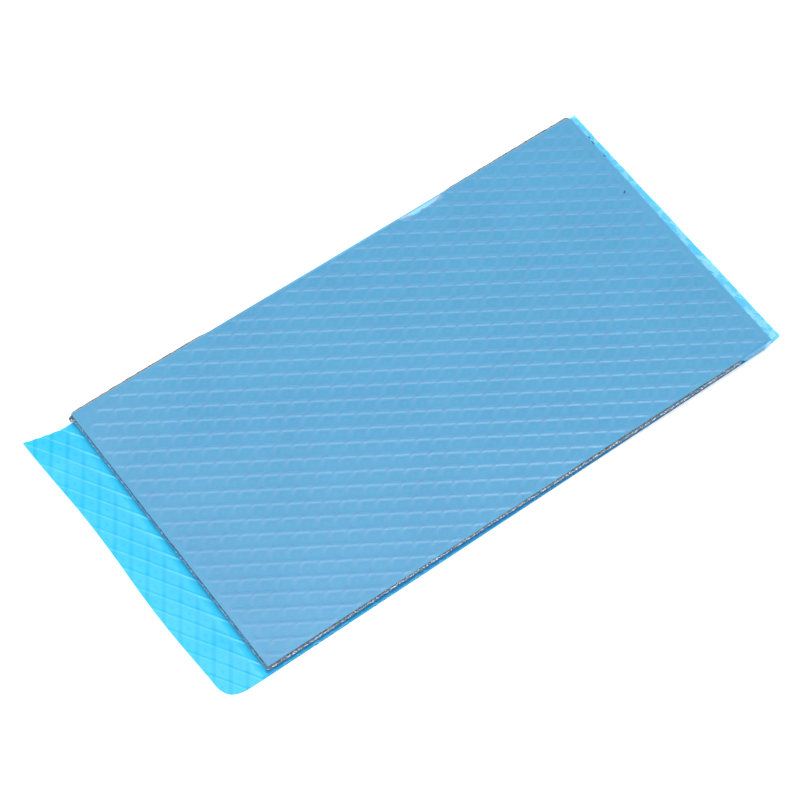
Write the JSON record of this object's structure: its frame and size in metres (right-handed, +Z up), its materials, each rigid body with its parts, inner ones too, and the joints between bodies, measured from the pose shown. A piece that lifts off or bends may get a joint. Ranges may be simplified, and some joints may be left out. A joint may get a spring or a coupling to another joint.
{
  "type": "thermal pad sheet",
  "caption": "Grey filled-silicone thermal pad sheet lying flat between two thin translucent blue embossed release films, the lower film showing past both ends.",
  "frame": {"origin": "under the middle of the pad, on the surface that the lower film rests on", "axes": "+X along the pad's long side towards the end where the lower film shows least, +Y along its short side towards the torn long edge, +Z up through the sheet"},
  "size_m": [0.0946, 0.0462, 0.0023],
  "materials": {
    "filled_silicone": "matte grey, grainy on its cut edges",
    "upper_film": "translucent blue, diamond emboss, steel blue over the grey pad",
    "lower_film": "translucent blue, diamond emboss, bright cyan over a white surface"
  },
  "bodies": {
    "root": {"thermal_pad": "filled_silicone", "top_release_film": "upper_film", "bottom_release_film": "lower_film"}
  },
  "joints": []
}
